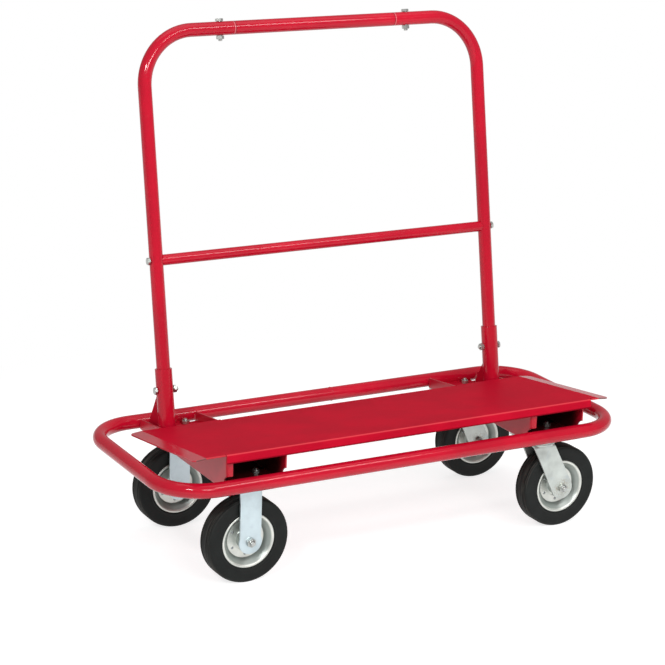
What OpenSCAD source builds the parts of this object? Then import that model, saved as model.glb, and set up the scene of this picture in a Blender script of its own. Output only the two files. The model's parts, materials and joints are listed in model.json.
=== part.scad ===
// Drywall cart: a tilted sheet deck on two cross channels inside a tubular
// bumper loop, a leaning plug-in hoop behind the deck, two rigid casters on
// the left and two swivel casters on the right. Millimetres, +Z up, +X along
// the cart towards the swivel casters, +Y towards the hoop.

/* [Bumper loop] */
// Overall length of the loop
loop_length = 1216; // [1120:1:1400]
// Overall width of the loop
loop_width = 522; // [500:1:640]
// Outside diameter of the loop's tube
loop_tube_d = 33.7; // [30:0.1:36]
// Wall of the loop's tube
loop_tube_wall = 2.6; // [2:0.1:4]
// Corner bend radius, to the tube's centre
loop_bend_r = 110; // [80:1:125]
// Height of the tube's centre above the channels' underside
loop_rise = 14.5; // [12:0.5:15]

/* [Deck] */
// Overall length of the deck
deck_length = 1090; // [1050:1:1120]
// Thickness of the deck's sheet
deck_t = 3; // [2:0.5:4]
// Slope of the deck, down to the back, in degrees
deck_tilt = 7.6; // [6:0.1:9]
// Height of the deck's front fold above the loop's centre
deck_rise = 77; // [70:1:90]
// Height of the front and rear lips
deck_lip_h = 21; // [16:1:30]
// Length of the front lip
front_lip_l = 958; // [940:1:980]
// Distance of the front lip's middle from the deck's, towards the swivel casters
front_lip_shift = 14; // [0:1:16]
// Outside radius of the sheet's folds
deck_bend_r = 5; // [4.5:0.5:8]
// Width of the bent end flaps
flap_w = 30; // [20:1:32]
// Droop of the end flaps, in degrees
flap_drop = 5.5; // [2:0.5:12]
// Radius of the deck's outer corners
deck_corner_r = 12; // [4:1:18]

/* [Cross channels] */
// Distance between the centres of the two channels
channel_spacing = 792; // [780:1:800]
// Distance of the channels and the hoop from the loop's middle, towards the swivel casters
frame_shift = 8; // [0:0.5:9]
// Outside width of a channel
channel_w = 146; // [140:1:152]
// Thickness of the channels' sheet
channel_t = 3; // [2:0.5:4]
// Outside radius of the bends between floor and walls
channel_bend_r = 5; // [4.5:0.5:8]
// Width of the return flange at the front of each left wall
flange_w = 14; // [12:1:24]
// Outside radius of the bend between wall and flange
flange_r = 8; // [5:0.5:8]
// Room round the loop's tube where the walls are notched
notch_room = 7; // [6:0.5:10]

/* [Hoop] */
// Height of the top rail's centre above the channels' floor
hoop_rise = 924; // [700:1:1100]
// Lean of the hoop, to the back, in degrees
hoop_lean = 10.1; // [8:0.1:12]
// Outside diameter of the hoop's tube
hoop_tube_d = 32; // [30:0.1:33]
// Wall of the hoop's tube
hoop_tube_wall = 2; // [1.5:0.1:3]
// Corner bend radius, to the tube's centre
hoop_bend_r = 124; // [90:1:150]
// Distance from the hoop's foot to the loop's rear tube
hoop_setback = 126; // [124:0.5:128]
// Length of the crossbar between its shoulders
crossbar_l = 424; // [320:1:480]
// Length of the crossbar's plug-in ends
spigot_l = 62; // [56:1:80]
// Distance from the crossbar's shoulder to the splice bolt
splice_inset = 36; // [24:1:42]
// Diameter of the splice bolts
splice_bolt_d = 10; // [8:1:10]
// Height of the mid rail along the hoop's leg
mid_rail_rise = 420; // [260:1:560]
// Outside diameter of the mid rail
mid_rail_d = 25.4; // [20:0.1:28]
// Wall of the mid rail
mid_rail_wall = 2; // [1.5:0.1:3]
// Diameter of the mid rail's bolts
mid_bolt_d = 10; // [8:1:10]

/* [Sockets] */
// Length of a socket along the hoop's leg
socket_l = 170; // [140:1:240]
// Wall of a socket
socket_wall = 3.6; // [3:0.1:3.9]
// Height of the lock bolt along the hoop's leg
socket_bolt_rise = 120; // [90:1:130]
// Diameter of the lock bolts
socket_bolt_d = 10; // [8:1:12]
// Thickness of the socket's gusset
gusset_t = 5; // [4:0.5:6]
// Height of the gusset along the socket
gusset_h = 130; // [100:1:136]
// Length of the gusset's foot behind the socket
gusset_l = 74; // [50:1:78]

/* [Casters] */
// Distance of the rigid axles from the cart's middle
rigid_x = 389.5; // [386:0.5:396]
// Distance of the kingpins from the cart's middle
kingpin_x = 392; // [388:0.5:396]
// Length of a top plate
plate_l = 115; // [108:1:120]
// Width of a top plate
plate_w = 94; // [92:1:98]
// Thickness of a top plate
plate_t = 4; // [4:0.5:6]
// Corner radius of a top plate
plate_corner_r = 10; // [6:1:14]
// Bolt spacing along the cart
bolt_spacing_x = 84; // [82:1:86]
// Bolt spacing across the cart
bolt_spacing_y = 62; // [60:1:63]
// Diameter of the caster bolts
caster_bolt_d = 10; // [8:1:10]
// Gap between the legs of a fork
fork_gap = 54; // [52:1:58]
// Thickness of the forks' sheet
fork_t = 5; // [4:0.5:6]
// Outside radius of the forks' bends
fork_bend_r = 9; // [7:0.5:12]
// Width of a rigid fork's legs
rigid_leg_w = 52; // [44:1:54]
// Width of a swivel fork's legs under the crown
swivel_leg_w = 58; // [50:1:62]
// Radius of the legs' round ends
leg_end_r = 28; // [24:0.5:30]
// Trail of the swivel casters
trail = 53; // [44:1:60]
// Diameter of the axle bolts
axle_d = 12; // [10:1:14]
// Diameter of the kingpins
kingpin_d = 14; // [12:1:16]
// Diameter of the swivel balls
ball_d = 8; // [7:0.5:8.5]
// Number of balls in a swivel
ball_count = 18; // [12:1:19]
// Radius of the ball track
track_r = 29; // [28:0.5:32]
// Room between a wheel and the crown above it
crown_room = 12; // [8:1:20]

/* [Wheels] */
// Outside diameter of the tyres
wheel_d = 200; // [190:1:220]
// Width of the tyres
tyre_w = 46; // [44:0.5:48]
// Radius of the tyres' shoulders
shoulder_r = 7; // [5:0.5:9]
// Outside diameter of the rims
rim_d = 127; // [120:1:136]
// Thickness of the rims' sheet
rim_t = 2.5; // [2:0.1:3]
// Diameter of the flat ring where the rim halves meet
rim_ring_d = 90; // [86:1:94]
// Outside diameter of a hub
hub_d = 42; // [40:1:46]
// Thickness of the hub's flange between the rim halves
hub_flange_t = 4; // [3:0.5:6]
// Outside diameter of a wheel bush
bush_d = 27; // [25:0.5:30]
// Outside diameter of an axle sleeve
sleeve_d = 20; // [18:0.5:21]
// Number of rivets in a rim
rivet_count = 6; // [4:1:8]
// Diameter of the rivets
rivet_d = 5; // [4:0.5:6]

/* [Hidden] */
$fn = 64;

// Clearances: running fits, slip fits, seats, welds, bolt holes and edges
run_clear = 0.05;
press_clear = 0.02;
slip_clear = 0.4;
spigot_clear = 0.25;
seat_gap = 0.3;
weld_gap = 0.2;
hole_clear = 0.5;
side_clear = 0.5;
plate_gap = 3.5;
fold_room = 0.5;
deck_rear_gap = 3;
wall_gap = 1;
bearing_gap = 1.5;
race_wall = 1;
tab_room = 2;
through = 2;

// Shares of hexagon heads and nuts, taken from the bolt's diameter
head_flats = 1.6;
head_h = 0.64;
nut_h = 0.85;
thread_end = 0.4;

// Heights of the caster stack
axle_z = wheel_d / 2;
crown_z = wheel_d + crown_room;
crown_top_z = crown_z + fork_t;
race_h = ball_d / 2 + bearing_gap;
plate_z = crown_top_z + 2 * race_h + bearing_gap;
floor_z = plate_z + plate_t;
floor_top_z = floor_z + channel_t;
track_z = crown_top_z + race_h + bearing_gap / 2;

// Bumper loop
loop_r = loop_tube_d / 2;
loop_hx = loop_length / 2 - loop_r;
loop_hy = loop_width / 2 - loop_r;
loop_z = floor_z + loop_rise;

// Hoop and sockets
hoop_r = hoop_tube_d / 2;
socket_bore_r = hoop_r + slip_clear;
socket_r = socket_bore_r + socket_wall;
hoop_hx = (channel_spacing + channel_w) / 2 - channel_t - wall_gap - socket_r;
hoop_foot_y = loop_hy - hoop_setback;
hoop_l = hoop_rise / cos(hoop_lean);
rail_y = hoop_foot_y + hoop_rise * tan(hoop_lean);
upright_foot_z = hoop_r * tan(hoop_lean) + seat_gap;
spigot_r = hoop_r - hoop_tube_wall - spigot_clear;
swage_l = 6;
gusset_x = hoop_hx + 2 * gusset_t;
mid_plug_l = 24;

// Deck
deck_front_y = -loop_hy;
deck_front_z = loop_z + deck_rise;
flat_hx = deck_length / 2 - flap_w * cos(flap_drop);
socket_front_y = hoop_foot_y - socket_r / cos(hoop_lean);
deck_depth = (socket_front_y - deck_rear_gap - deck_front_y) / cos(deck_tilt);
rear_lip_l = channel_spacing - channel_w - 2 * deck_t;
relief_w = deck_t;

// Cross channels
channel_hw = channel_w / 2;
channel_front_y = deck_front_y + deck_bend_r + fold_room;
channel_rear_y = -channel_front_y;
notch_r = loop_r + notch_room;

// Casters
function caster_x(side) = side < 0 ? -rigid_x : kingpin_x;
tube_reach = sqrt(pow(loop_r, 2) - pow(loop_rise, 2));
caster_y = loop_hy - tube_reach - plate_gap - plate_w / 2;
race_w = ball_d + 2 * (bearing_gap + race_wall);
crown_r = track_r + race_w / 2 + bearing_gap;
fork_hw = fork_gap / 2 + fork_t;
kingpin_head_d = kingpin_d + 2 * plate_t;
swivel_leg_front = -0.6 * swivel_leg_w;

// Wheels: the rim's sheet is a line of points, from its flat ring out to its rolled lip
wheel_r = wheel_d / 2;
hub_r = hub_d / 2;
hub_l = fork_gap - 2 * side_clear;
rim_bead_r = 0.8 * rim_t;
rim_face_z = tyre_w / 2 - rim_bead_r - press_clear;
ring_room = 7;
ring_inner_r = hub_r + ring_room;
ring_z = hub_flange_t / 2 + press_clear;
rim_mid_z = ring_z + rim_t / 2;
rivet_r = (ring_inner_r + rim_ring_d / 2) / 2;
hub_flange_r = rivet_r + rivet_d;
rivet_head_h = 2;
tyre_gap = 0.15;
groove_w = 2;
groove_depth = 2;
groove_places = [0.22, 0.32];
cone_foot_w = 3;
cone_foot_h = 2;
cone_top_w = 6;
cone_top_h = 4;
rim_lip_w = 3;
rim_lip_h = 1;
rim_line = [
    [rim_ring_d / 2, rim_mid_z],
    [rim_ring_d / 2 + cone_foot_w, rim_mid_z + cone_foot_h],
    [rim_d / 2 - cone_top_w, rim_face_z - cone_top_h],
    [rim_d / 2 - rim_lip_w, rim_face_z - rim_lip_h],
    [rim_d / 2 - rim_bead_r, rim_face_z]
];

// Middle of the part's box, which the frame is centred on
part_front_y = -loop_width / 2;
part_rear_y = max(loop_width / 2, rail_y + hoop_r);
part_mid_y = (part_front_y + part_rear_y) / 2;

// Colours
paint_red = "#c4122f";
zinc = "#cfd8da";
bright_steel = "#b9bec2";
rubber_black = "#1d1f20";
bush_white = "#e4e0d2";

// Point where a straight edge from p touches a circle at c, on the given side
function tangent_point(p, c, r, side) =
    let (
        d = norm(p - c),
        toward = atan2(p[1] - c[1], p[0] - c[0]),
        turn = side * acos(r / d)
    )
    [c[0] + r * cos(toward + turn), c[1] + r * sin(toward + turn)];

// Places the part's middle on the frame's origin
module in_frame() {
    translate([0, -part_mid_y, 0]) children();
}

// Frame on the deck's top, with its origin on the front fold
module on_deck() {
    translate([0, deck_front_y, deck_front_z]) rotate([-deck_tilt, 0, 0]) children();
}

// Frame along the hoop's legs, with its origin on the channels' floor
module on_hoop() {
    translate([frame_shift, hoop_foot_y, floor_top_z]) rotate([-hoop_lean, 0, 0]) children();
}

// Stands a drawing up across the cart: its x runs along Y and its y along Z
module along_x(length) {
    rotate([90, 0, 90]) linear_extrude(height = length, center = true) children();
}

// Stands a drawing up along the cart: its x runs along X and its y along Z
module along_y(length) {
    rotate([90, 0, 0]) linear_extrude(height = length, center = true) children();
}

module rod_x(r, length) {
    rotate([0, 90, 0]) cylinder(r = r, h = length, center = true);
}

module rod_y(r, length) {
    rotate([90, 0, 0]) cylinder(r = r, h = length, center = true);
}

module hexagon(flats, h) {
    cylinder(d = flats / cos(30), h = h, $fn = 6);
}

// Hexagon nut round the Z axis, standing on z = 0
module nut(d) {
    difference() {
        hexagon(head_flats * d, nut_h * d);
        translate([0, 0, -through]) cylinder(d = d + 2 * press_clear, h = nut_h * d + 2 * through);
    }
}

// Hexagon bolt whose head stands on z = 0 and whose shank goes down
module bolt(d, length) {
    hexagon(head_flats * d, head_h * d);
    translate([0, 0, -length]) cylinder(d = d, h = length);
}

// Bolt that holds a grip, with its nut on the far side
module bolt_and_nut(d, grip) {
    length = grip + nut_h * d + thread_end * d;
    bolt(d, length);
    translate([0, 0, -grip]) mirror([0, 0, 1]) nut(d);
}

// Drawing of an arch with round upper corners
module arch(half_w, top, bottom, r) {
    translate([-half_w, bottom]) square([2 * half_w, top - r - bottom]);
    translate([r - half_w, bottom]) square([2 * (half_w - r), top - bottom]);
    for (s = [-1, 1]) translate([s * (half_w - r), top - r]) circle(r);
}

// Drawing of a rectangle with round corners, centred
module round_rectangle(l, w, r) {
    square([l - 2 * r, w], center = true);
    square([l, w - 2 * r], center = true);
    for (sx = [-1, 1], sy = [-1, 1]) translate([sx * (l / 2 - r), sy * (w / 2 - r)]) circle(r);
}

// Drawing of sheet metal that follows a line of points, with round joints
module sheet_line(points, t) {
    for (i = [1 : len(points) - 1]) {
        step = points[i] - points[i - 1];
        translate((points[i] + points[i - 1]) / 2)
            rotate(atan2(step[1], step[0]))
                square([norm(step), t], center = true);
    }
    for (p = points) translate(p) circle(d = t);
}

// Solid rod along the loop's centre
module loop_rod(r) {
    for (s = [-1, 1]) {
        translate([0, s * loop_hy, loop_z]) rod_x(r, 2 * (loop_hx - loop_bend_r));
        translate([s * loop_hx, 0, loop_z]) rod_y(r, 2 * (loop_hy - loop_bend_r));
    }
    for (sx = [-1, 1], sy = [-1, 1]) {
        translate([sx * (loop_hx - loop_bend_r), sy * (loop_hy - loop_bend_r), loop_z])
            mirror([sx < 0 ? 1 : 0, 0, 0])
                mirror([0, sy < 0 ? 1 : 0, 0])
                    rotate_extrude(angle = 90) translate([loop_bend_r, 0]) circle(r);
    }
}

module bumper_loop() {
    color(paint_red) in_frame() difference() {
        loop_rod(loop_r);
        loop_rod(loop_r - loop_tube_wall);
    }
}

// Drawing of a folded lip: its x runs back along the deck, its y up from the deck's top
module lip_drawing() {
    translate([0, -deck_lip_h]) square([deck_t, deck_lip_h - deck_bend_r]);
    intersection() {
        translate([deck_bend_r, -deck_bend_r]) difference() {
            circle(deck_bend_r);
            circle(deck_bend_r - deck_t);
        }
        translate([0, -deck_bend_r]) square(deck_bend_r);
    }
}

// Drawing of the deck's sheet with its drooping end flaps, seen along the deck's slope
module sheet_drawing() {
    fold = [flat_hx, 0];
    out = 2 * flap_w * [cos(flap_drop), -sin(flap_drop)];
    down = deck_t * [-sin(flap_drop), -cos(flap_drop)];
    under = [-deck_t * tan(flap_drop / 2), -deck_t];
    right = [fold, fold + out, fold + out + down, fold + under];
    left = [for (i = [3 : -1 : 0]) [-right[i][0], right[i][1]]];
    polygon(concat(right, left));
}

// Drawing of the deck from above, with bend reliefs beside the lips
module deck_drawing() {
    difference() {
        translate([0, deck_depth / 2]) round_rectangle(deck_length, deck_depth, deck_corner_r);
        for (lip = [[front_lip_l, front_lip_shift, 0], [rear_lip_l, frame_shift, deck_depth]])
            translate([lip[1], lip[2]]) {
                square([lip[0], 2 * deck_bend_r], center = true);
                for (s = [-1, 1]) translate([s * (lip[0] + relief_w) / 2, 0])
                    square([relief_w, 2 * (deck_bend_r + relief_w)], center = true);
            }
    }
}

module deck() {
    color(paint_red) in_frame() on_deck() {
        intersection() {
            along_y(4 * deck_depth) sheet_drawing();
            translate([0, 0, -2 * deck_lip_h]) linear_extrude(height = 4 * deck_lip_h) deck_drawing();
        }
        translate([front_lip_shift, 0, 0]) along_x(front_lip_l) lip_drawing();
        translate([frame_shift, deck_depth, 0]) mirror([0, 1, 0]) along_x(rear_lip_l) lip_drawing();
    }
}

// Holes or bolts of one caster's plate, round the Z axis
module at_plate_bolts() {
    for (sx = [-1, 1], sy = [-1, 1])
        translate([sx * bolt_spacing_x / 2, sy * bolt_spacing_y / 2, 0]) children();
}

module at_both_casters(x) {
    for (s = [-1, 1]) translate([x, s * caster_y, 0]) at_plate_bolts() children();
}

// Everything above the underside of the deck
module above_deck() {
    on_deck() translate([-loop_length / 2, -loop_width, -deck_t])
        cube([loop_length, 3 * loop_width, loop_width]);
}

// Drawing of a channel's walls and floor, seen along the channel
module channel_drawing(top) {
    mirror([0, 1]) translate([0, -floor_z]) difference() {
        arch(channel_hw, 0, floor_z - top, channel_bend_r);
        arch(channel_hw - channel_t, -channel_t, floor_z - top - through, channel_bend_r - channel_t);
    }
}

// Drawing of a front return flange from above
module flange_drawing() {
    bend = [channel_hw - flange_r, channel_front_y + flange_r];
    translate([channel_hw - flange_w, channel_front_y]) square([flange_w - flange_r, channel_t]);
    intersection() {
        translate(bend) difference() {
            circle(flange_r);
            circle(flange_r - channel_t);
        }
        translate([bend[0], channel_front_y]) square(flange_r);
    }
}

// A cross channel: its floor is welded to the loop's tubes, its walls are notched over them
module cross_channel(side) {
    x = frame_shift + side * channel_spacing / 2;
    top = deck_front_z;
    first_y = channel_front_y + flange_r;
    tab_hw = channel_hw - max(channel_bend_r, flange_w) - tab_room;
    color(paint_red) in_frame() difference() {
        translate([x, 0, 0]) {
            translate([0, (first_y + channel_rear_y) / 2, 0])
                along_y(channel_rear_y - first_y) channel_drawing(top);
            intersection() {
                translate([0, (channel_front_y + channel_rear_y) / 2, 0])
                    along_y(channel_rear_y - channel_front_y) channel_drawing(top);
                translate([channel_hw - channel_bend_r, channel_front_y - through, floor_z - through])
                    cube([channel_w, flange_r + 2 * through, channel_w]);
            }
            translate([-tab_hw, channel_front_y, floor_z])
                cube([2 * tab_hw, flange_r + through, channel_t]);
            mirror([1, 0, 0])
                translate([0, 0, floor_z]) linear_extrude(height = top - floor_z) flange_drawing();
        }
        above_deck();
        for (s = [-1, 1]) translate([x, s * loop_hy, loop_z]) {
            rod_x(loop_r + weld_gap, 2 * channel_w);
            for (m = [-1, 1]) translate([m * (tab_hw + channel_w / 2), 0, 0]) rod_x(notch_r, channel_w);
        }
        at_both_casters(caster_x(side))
            translate([0, 0, floor_z - through])
                cylinder(d = caster_bolt_d + 2 * hole_clear, h = channel_t + 2 * through);
    }
}

module cross_channel_left() {
    cross_channel(-1);
}

module cross_channel_right() {
    cross_channel(1);
}

// A socket tube, cut off level with the channel's floor and notched over the channel's inner bend
module socket(side) {
    corner_x = channel_spacing / 2 + channel_hw - channel_bend_r - seat_gap;
    corner_z = floor_top_z + channel_bend_r - channel_t + seat_gap;
    color(paint_red) in_frame() difference() {
        on_hoop() translate([side * hoop_hx, 0, 0]) difference() {
            translate([0, 0, -socket_r]) cylinder(r = socket_r, h = socket_l + socket_r);
            translate([0, 0, -2 * socket_r]) cylinder(r = socket_bore_r, h = socket_l + 4 * socket_r);
            translate([0, 0, socket_bolt_rise]) rod_x(socket_bolt_d / 2 + hole_clear, 4 * socket_r);
        }
        translate([frame_shift + side * hoop_hx, hoop_foot_y, floor_top_z - 2 * socket_r])
            cube(4 * socket_r, center = true);
        translate([frame_shift + side * (corner_x + 2 * socket_r), hoop_foot_y, corner_z - 2 * socket_r])
            cube(4 * socket_r, center = true);
    }
}

module socket_left() {
    socket(-1);
}

module socket_right() {
    socket(1);
}

module socket_gussets() {
    foot = [hoop_foot_y, floor_top_z];
    heel = [hoop_foot_y + socket_r + gusset_l, floor_top_z];
    peak = foot + gusset_h * [sin(hoop_lean), cos(hoop_lean)];
    color(paint_red) in_frame() for (s = [-1, 1]) difference() {
        translate([frame_shift + s * gusset_x, 0, 0]) along_x(gusset_t) polygon([foot, heel, peak]);
        on_hoop() translate([s * hoop_hx, 0, -socket_l]) cylinder(r = socket_r + weld_gap, h = 3 * socket_l);
    }
}

// Drawing of the cut end of the hoop's tube
module hoop_ring() {
    difference() {
        circle(hoop_r);
        circle(hoop_r - hoop_tube_wall);
    }
}

// A leg of the hoop with its bend, open at its foot and at the splice
module upright(side) {
    straight_l = hoop_hx - hoop_bend_r - crossbar_l / 2;
    color(paint_red) in_frame() on_hoop() mirror([side < 0 ? 1 : 0, 0, 0]) difference() {
        union() {
            translate([hoop_hx, 0, upright_foot_z])
                linear_extrude(height = hoop_l - hoop_bend_r - upright_foot_z) hoop_ring();
            translate([hoop_hx - hoop_bend_r, 0, hoop_l - hoop_bend_r])
                rotate([90, 0, 0]) rotate_extrude(angle = 90) translate([hoop_bend_r, 0]) hoop_ring();
            translate([crossbar_l / 2, 0, hoop_l])
                rotate([0, 90, 0]) linear_extrude(height = straight_l) hoop_ring();
        }
        translate([crossbar_l / 2 + splice_inset, 0, hoop_l])
            cylinder(d = splice_bolt_d + 2 * hole_clear, h = 4 * hoop_r, center = true);
        translate([hoop_hx, 0, socket_bolt_rise]) rod_x(socket_bolt_d / 2 + hole_clear, 4 * hoop_r);
        translate([hoop_hx, 0, mid_rail_rise]) rod_x(mid_bolt_d / 2 + hole_clear, 4 * hoop_r);
    }
}

module upright_left() {
    upright(-1);
}

module upright_right() {
    upright(1);
}

// Drawing of half the crossbar: a tube whose end is drawn down to plug into the leg
module crossbar_drawing() {
    end = crossbar_l / 2 + spigot_l;
    bore_r = hoop_r - hoop_tube_wall;
    spigot_bore_r = spigot_r - hoop_tube_wall;
    polygon([
        [bore_r, 0], [hoop_r, 0], [hoop_r, crossbar_l / 2], [spigot_r, crossbar_l / 2],
        [spigot_r, end], [spigot_bore_r, end],
        [spigot_bore_r, crossbar_l / 2], [bore_r, crossbar_l / 2 - swage_l]
    ]);
}

module top_crossbar() {
    color(paint_red) in_frame() on_hoop() translate([0, 0, hoop_l]) difference() {
        for (m = [0, 1]) mirror([m, 0, 0]) rotate([0, 90, 0]) rotate_extrude() crossbar_drawing();
        for (s = [-1, 1]) translate([s * (crossbar_l / 2 + splice_inset), 0, 0])
            cylinder(d = splice_bolt_d + 2 * hole_clear, h = 4 * hoop_r, center = true);
    }
}

// A straight tube between the legs, with plugged and threaded ends
module mid_rail() {
    rail_hx = hoop_hx - hoop_r;
    bore_l = 2 * (rail_hx - mid_plug_l);
    color(paint_red) in_frame() on_hoop() translate([0, 0, mid_rail_rise]) difference() {
        rod_x(mid_rail_d / 2, 2 * hoop_hx);
        rod_x(mid_rail_d / 2 - mid_rail_wall, bore_l);
        rod_x(mid_bolt_d / 2 + press_clear, 2 * hoop_hx + through);
        for (s = [-1, 1]) translate([s * hoop_hx, 0, 0])
            cylinder(r = hoop_r + weld_gap, h = 2 * mid_rail_d, center = true);
    }
}

module splice_bolts() {
    color(zinc) in_frame() on_hoop() for (s = [-1, 1])
        translate([s * (crossbar_l / 2 + splice_inset), 0, hoop_l + hoop_r + seat_gap])
            bolt_and_nut(splice_bolt_d, 2 * (hoop_r + seat_gap));
}

module socket_bolts() {
    color(zinc) in_frame() on_hoop() for (s = [-1, 1])
        translate([s * (hoop_hx + socket_r + seat_gap), 0, socket_bolt_rise]) rotate([0, s * 90, 0])
            bolt_and_nut(socket_bolt_d, 2 * (socket_r + seat_gap));
}

module mid_rail_bolts() {
    color(zinc) in_frame() on_hoop() for (s = [-1, 1])
        translate([s * (hoop_hx + hoop_r + seat_gap), 0, mid_rail_rise]) rotate([0, s * 90, 0])
            bolt(mid_bolt_d, 2 * hoop_r + mid_plug_l);
}

module at_four_casters() {
    for (s = [-1, 1]) at_both_casters(caster_x(s)) children();
}

// Bolts come up through plate and floor
module caster_bolts() {
    grip = plate_t + channel_t;
    length = grip + (nut_h + thread_end) * caster_bolt_d;
    color(zinc) in_frame() at_four_casters()
        translate([0, 0, plate_z]) mirror([0, 0, 1]) bolt(caster_bolt_d, length);
}

module caster_nuts() {
    color(zinc) in_frame() at_four_casters() translate([0, 0, floor_top_z]) nut(caster_bolt_d);
}

// Places a piece of one caster: side -1 is left or front, 1 is right or rear
module at_caster(side_x, side_y) {
    translate([caster_x(side_x), side_y * caster_y, 0]) children();
}

module top_plate() {
    difference() {
        translate([0, 0, plate_z])
            linear_extrude(height = plate_t) round_rectangle(plate_l, plate_w, plate_corner_r);
        at_plate_bolts() translate([0, 0, plate_z - through])
            cylinder(d = caster_bolt_d + 2 * hole_clear, h = plate_t + 2 * through);
    }
}

module rigid_plate(side_y) {
    color(zinc) in_frame() at_caster(-1, side_y) top_plate();
}

module rigid_plate_front() {
    rigid_plate(-1);
}

module rigid_plate_rear() {
    rigid_plate(1);
}

// Bent sheet of a fork, seen along the cart: two legs under a crown
module fork_drawing(top) {
    difference() {
        arch(fork_hw, top, 0, fork_bend_r);
        arch(fork_gap / 2, top - fork_t, -through, fork_bend_r - fork_t);
    }
}

module axle_hole(x) {
    translate([x, 0, axle_z]) rod_y(axle_d / 2 + 2 * run_clear, 4 * fork_hw);
}

module rigid_fork(side_y) {
    color(zinc) in_frame() at_caster(-1, side_y) difference() {
        intersection() {
            along_x(2 * plate_l) fork_drawing(plate_z);
            along_y(4 * fork_hw) {
                translate([-rigid_leg_w / 2, axle_z]) square([rigid_leg_w, plate_z - axle_z]);
                translate([0, axle_z]) circle(leg_end_r);
            }
        }
        axle_hole(0);
    }
}

module rigid_fork_front() {
    rigid_fork(-1);
}

module rigid_fork_rear() {
    rigid_fork(1);
}

// Drawing of half a ball race, a ring with a groove that clears the balls
module race_drawing(from_z) {
    difference() {
        translate([track_r - race_w / 2, from_z]) square([race_w, race_h]);
        translate([track_r, track_z]) circle(ball_d / 2 + seat_gap);
    }
}

module swivel_plate(side_y) {
    color(zinc) in_frame() at_caster(1, side_y) difference() {
        union() {
            top_plate();
            rotate_extrude() race_drawing(plate_z - race_h);
        }
        translate([0, 0, plate_z - through])
            cylinder(r = kingpin_d / 2 + run_clear, h = plate_t + 2 * through);
        translate([0, 0, plate_z])
            cylinder(d1 = kingpin_d + 2 * run_clear, d2 = kingpin_head_d + 2 * run_clear, h = plate_t);
    }
}

module swivel_plate_front() {
    swivel_plate(-1);
}

module swivel_plate_rear() {
    swivel_plate(1);
}

module swivel_balls() {
    color(bright_steel) in_frame() for (s = [-1, 1]) at_caster(1, s)
        for (i = [0 : ball_count - 1])
            rotate(360 * i / ball_count) translate([track_r, 0, track_z]) sphere(d = ball_d);
}

// Kingpins, flush in the plates, with a washer's room and a nut under the crown
module kingpins() {
    nut_top_z = crown_z - seat_gap;
    foot_z = nut_top_z - (nut_h + thread_end) * kingpin_d;
    color(zinc) in_frame() for (s = [-1, 1]) at_caster(1, s) {
        translate([0, 0, foot_z]) cylinder(d = kingpin_d, h = plate_z - foot_z);
        translate([0, 0, plate_z]) cylinder(d1 = kingpin_d, d2 = kingpin_head_d, h = plate_t);
        translate([0, 0, nut_top_z]) mirror([0, 0, 1]) nut(kingpin_d);
    }
}

// Drawing of a swivel fork's raked leg, seen across the cart
module swivel_leg_drawing() {
    axle = [trail, axle_z];
    front = [swivel_leg_front, crown_top_z];
    back = [swivel_leg_front + swivel_leg_w, crown_top_z];
    polygon([
        front, back,
        tangent_point(back, axle, leg_end_r, -1), axle, tangent_point(front, axle, leg_end_r, 1)
    ]);
    translate(axle) circle(leg_end_r);
}

module swivel_fork(side_y) {
    color(zinc) in_frame() at_caster(1, side_y) difference() {
        union() {
            intersection() {
                along_x(6 * trail) fork_drawing(crown_top_z);
                along_y(4 * fork_hw) swivel_leg_drawing();
            }
            translate([0, 0, crown_z]) cylinder(r = crown_r, h = fork_t);
            rotate_extrude() race_drawing(crown_top_z);
        }
        translate([0, 0, crown_z - through])
            cylinder(r = kingpin_d / 2 + run_clear, h = fork_t + 2 * through);
        axle_hole(trail);
    }
}

module swivel_fork_front() {
    swivel_fork(-1);
}

module swivel_fork_rear() {
    swivel_fork(1);
}

// Frame of a wheel: its z axis is the axle and points to the cart's front
module at_wheel(side_x, side_y) {
    x = caster_x(side_x) + (side_x < 0 ? 0 : trail);
    in_frame() translate([x, side_y * caster_y, axle_z]) rotate([90, 0, 0]) children();
}

module axle_bolt(side_x, side_y) {
    color(zinc) at_wheel(side_x, side_y)
        translate([0, 0, -fork_hw]) mirror([0, 0, 1]) bolt_and_nut(axle_d, 2 * fork_hw);
}

module axle_sleeve(side_x, side_y) {
    length = fork_gap - 2 * weld_gap;
    color(bright_steel) at_wheel(side_x, side_y) difference() {
        cylinder(d = sleeve_d, h = length, center = true);
        cylinder(r = axle_d / 2 + 2 * run_clear, h = fork_gap, center = true);
    }
}

// Drawing of a tyre's outer shape: flat sides, round shoulders and tread grooves
module tyre_outside() {
    half_w = tyre_w / 2;
    difference() {
        union() {
            translate([0, -half_w]) square([wheel_r - shoulder_r, tyre_w]);
            translate([0, shoulder_r - half_w]) square([wheel_r, tyre_w - 2 * shoulder_r]);
            for (s = [-1, 1])
                translate([wheel_r - shoulder_r, s * (half_w - shoulder_r)]) circle(shoulder_r);
        }
        for (s = [-1, 1], place = groove_places)
            translate([wheel_r, s * place * tyre_w]) square([2 * groove_depth, groove_w], center = true);
    }
}

// Drawing of the space that the rim takes out of a tyre
module rim_space() {
    lip = rim_line[len(rim_line) - 1];
    for (m = [0, 1]) mirror([0, m]) {
        sheet_line(rim_line, rim_t + 2 * tyre_gap);
        translate(lip) circle(rim_bead_r + tyre_gap);
        polygon(concat([[-through, -through], [rim_line[0][0], -through]], rim_line,
            [[lip[0], tyre_w], [-through, tyre_w]]));
    }
}

module tyre(side_x, side_y) {
    color(rubber_black) at_wheel(side_x, side_y) rotate_extrude() difference() {
        tyre_outside();
        rim_space();
    }
}

module at_rivets() {
    for (i = [0 : rivet_count - 1])
        rotate(360 * (i + 0.5) / rivet_count) translate([rivet_r, 0, 0]) children();
}

module rivet_holes() {
    at_rivets() cylinder(r = rivet_d / 2 + run_clear, h = tyre_w, center = true);
}

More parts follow.
